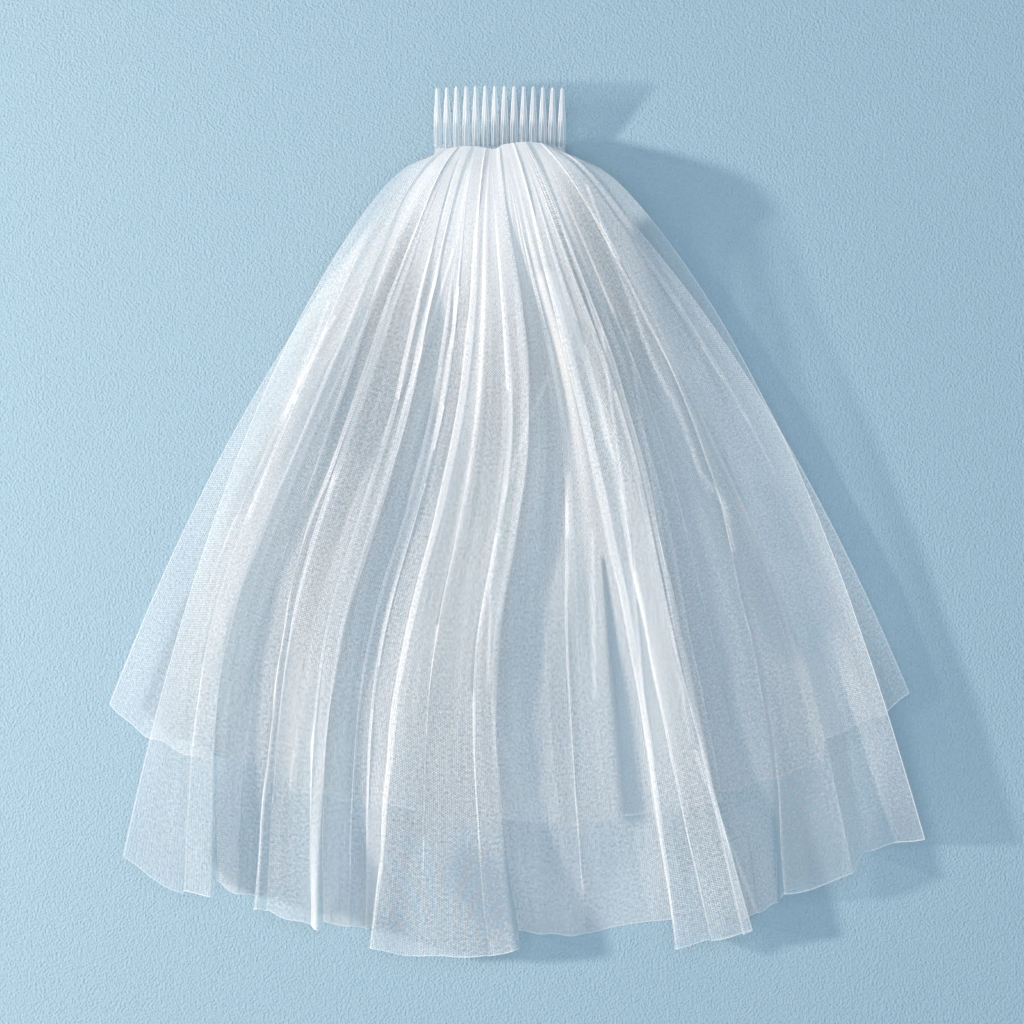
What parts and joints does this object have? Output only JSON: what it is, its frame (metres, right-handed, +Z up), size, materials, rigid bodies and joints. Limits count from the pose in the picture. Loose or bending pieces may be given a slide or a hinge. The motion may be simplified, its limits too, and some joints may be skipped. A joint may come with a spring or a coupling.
{
  "type": "bridal veil on a hair comb",
  "caption": "Short bridal veil laid flat: two tiers of soft white tulle gathered onto a clear plastic hair comb, the long tier over the short one.",
  "frame": {"origin": "on the surface that the veil lies on, under the middle of the whole object", "axes": "+Y from the hems towards the comb's teeth, +X to the right as seen from above with the teeth pointing away, +Z up"},
  "size_m": [0.4642, 0.4926, 0.041],
  "materials": {
    "clear_plastic": "clear, polished, lightly frosted by moulding",
    "tulle_long": "soft white nylon net, sheer, matt with a fine sheen",
    "tulle_short": "soft white nylon net, sheer, matt with a fine sheen"
  },
  "bodies": {
    "root": {"comb": "clear_plastic", "short_tier": "tulle_short", "long_tier": "tulle_long"}
  },
  "joints": []
}
